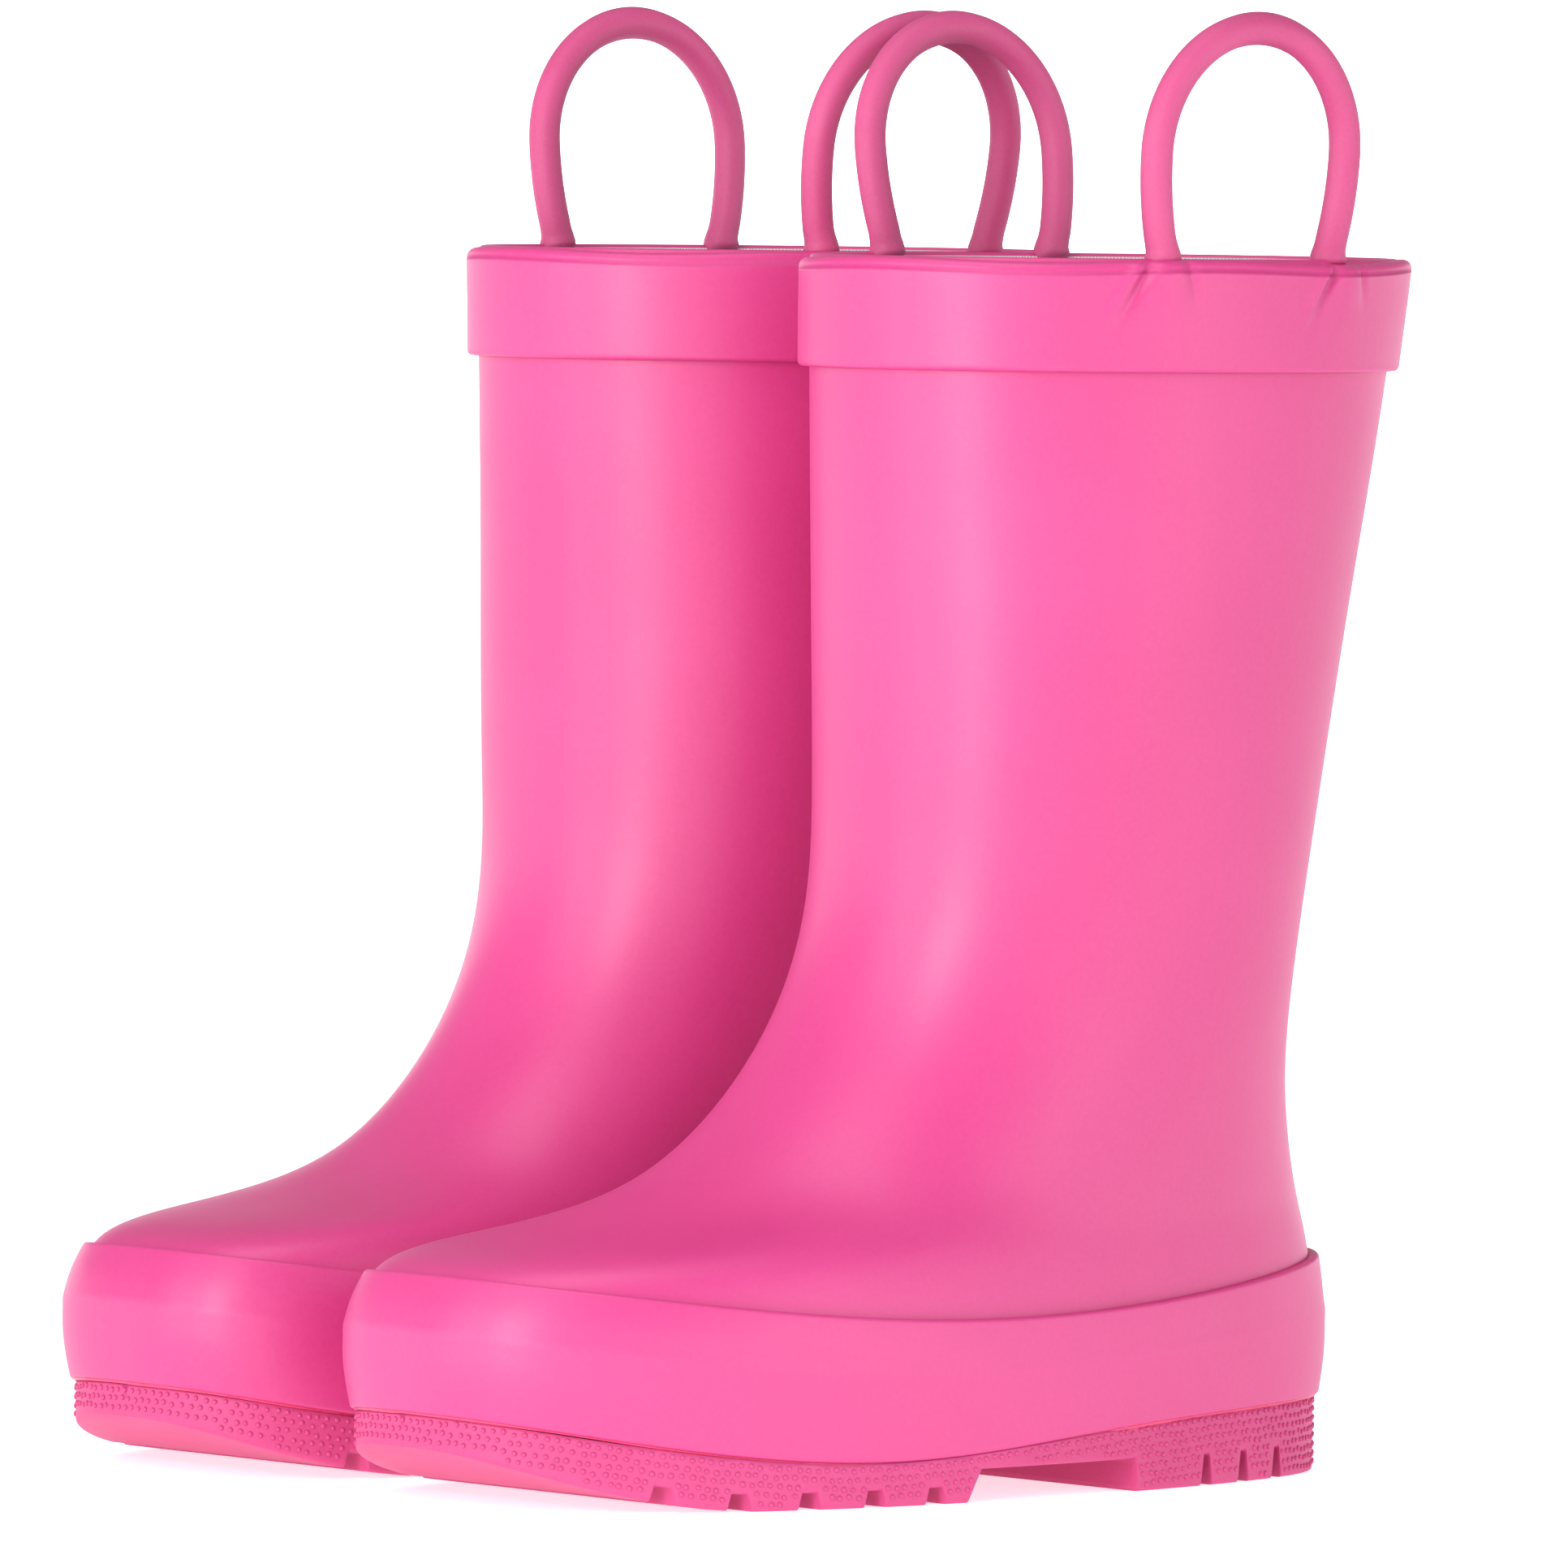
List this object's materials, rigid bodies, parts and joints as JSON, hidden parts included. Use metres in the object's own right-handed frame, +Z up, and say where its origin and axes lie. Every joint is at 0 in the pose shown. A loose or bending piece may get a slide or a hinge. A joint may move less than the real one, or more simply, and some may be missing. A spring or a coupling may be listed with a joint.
{
  "type": "pair of children's pull-on rubber rain boots",
  "caption": "Pair of children's pink rubber rain boots with round pull-on loop handles, a collar band, a foxing band and a lugged sole.",
  "frame": {"origin": "on the floor under the middle of the pair's box", "axes": "+Z up, toes towards -Y, the wearer's left boot at +X and the right boot at -X"},
  "size_m": [0.171, 0.2042, 0.2473],
  "materials": {
    "moulded_rubber": "satin natural rubber, dipped and cured",
    "loop_rubber": "matte moulded rubber",
    "sole_rubber": "matte pebbled moulded rubber",
    "stiffener_rubber": "hidden calendered rubber sheet",
    "sponge_rubber": "open sponge, hidden",
    "fibre_board": "pressed cellulose fibre board, hidden",
    "cotton_jersey": "knitted cotton, matte",
    "foam_insole": "cotton over foam, matte"
  },
  "bodies": {
    "left_boot": {"left_upper": "moulded_rubber", "left_lining": "cotton_jersey", "left_heel_counter": "stiffener_rubber", "left_toe_puff": "stiffener_rubber", "left_top_band": "moulded_rubber", "left_outer_handle_roots": "loop_rubber", "left_inner_handle_roots": "loop_rubber", "left_foxing": "moulded_rubber", "left_outsole": "sole_rubber", "left_sponge_midsole": "sponge_rubber", "left_lasting_board": "fibre_board", "left_insole": "foam_insole"},
    "left_outer_handle": {"left_outer_handle": "loop_rubber"},
    "left_inner_handle": {"left_inner_handle": "loop_rubber"},
    "right_boot": {"right_upper": "moulded_rubber", "right_lining": "cotton_jersey", "right_heel_counter": "stiffener_rubber", "right_toe_puff": "stiffener_rubber", "right_top_band": "moulded_rubber", "right_outer_handle_roots": "loop_rubber", "right_inner_handle_roots": "loop_rubber", "right_foxing": "moulded_rubber", "right_outsole": "sole_rubber", "right_sponge_midsole": "sponge_rubber", "right_lasting_board": "fibre_board", "right_insole": "foam_insole"},
    "right_outer_handle": {"right_outer_handle": "loop_rubber"},
    "right_inner_handle": {"right_inner_handle": "loop_rubber"}
  },
  "joints": [
    {"name": "left_outer_handle_bend", "type": "hinge", "parent": "left_boot", "child": "left_outer_handle", "pos_m": [0.07937, 0.04444, 0.2097], "axis": [0, 1, 0], "range_deg": [-60, 80], "stiffness_Nm_per_rad": 0.03},
    {"name": "left_inner_handle_bend", "type": "hinge", "parent": "left_boot", "child": "left_inner_handle", "pos_m": [0.00863, 0.04444, 0.2097], "axis": [0, -1, 0], "range_deg": [-60, 1], "stiffness_Nm_per_rad": 0.03},
    {"name": "right_boot_apart", "type": "slide", "parent": "left_boot", "child": "right_boot", "axis": [-1, 0, 0], "range_m": [0, 0.15]},
    {"name": "right_outer_handle_bend", "type": "hinge", "parent": "right_boot", "child": "right_outer_handle", "pos_m": [-0.07937, 0.04444, 0.2097], "axis": [0, -1, 0], "range_deg": [-60, 80], "stiffness_Nm_per_rad": 0.03},
    {"name": "right_inner_handle_bend", "type": "hinge", "parent": "right_boot", "child": "right_inner_handle", "pos_m": [-0.00863, 0.04444, 0.2097], "axis": [0, 1, 0], "range_deg": [-60, 1], "stiffness_Nm_per_rad": 0.03}
  ]
}
